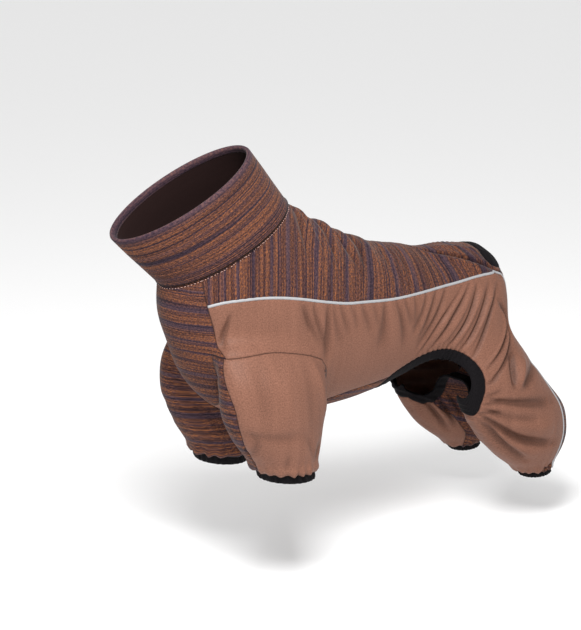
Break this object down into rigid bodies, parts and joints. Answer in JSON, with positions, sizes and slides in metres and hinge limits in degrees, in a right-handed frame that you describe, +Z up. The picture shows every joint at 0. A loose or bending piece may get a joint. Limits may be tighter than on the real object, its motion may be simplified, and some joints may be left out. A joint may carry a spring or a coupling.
{
  "type": "dog tracksuit",
  "caption": "Four-legged dog tracksuit with stand-up collar, striped yoke and chest, plain sides, piped seams, elastic cuffs and bound belly and tail openings.",
  "frame": {"origin": "inside face of the back panel at the withers, where the suit rests on the wearer's back", "axes": "+X from the neck to the tail, +Y to the wearer's right, +Z up"},
  "size_m": [0.5287, 0.1906, 0.391],
  "materials": {
    "striped_knit": "irregular striped melange knit, matt",
    "brown_knit": "smooth stretch knit with a soft sheen",
    "lining_knit": "dark brown brushed lining",
    "elastic_binding": "matt ribbed elastic binding",
    "reflective_piping": "silver-grey reflective piping"
  },
  "bodies": {
    "root": {"back_yoke": "striped_knit", "chest_panel": "striped_knit", "seat_panel": "striped_knit", "side_panel_left": "brown_knit", "side_panel_right": "brown_knit", "side_piping_left": "reflective_piping", "side_piping_right": "reflective_piping", "sleeve_outer_left": "brown_knit", "sleeve_inner_left": "striped_knit", "front_cuff_left": "elastic_binding", "sleeve_outer_right": "brown_knit", "sleeve_inner_right": "striped_knit", "front_cuff_right": "elastic_binding", "hind_cuff_left": "elastic_binding", "hind_cuff_right": "elastic_binding", "belly_opening_binding": "elastic_binding", "tail_opening_binding": "elastic_binding", "collar": "striped_knit", "collar_lining": "lining_knit"}
  },
  "joints": []
}
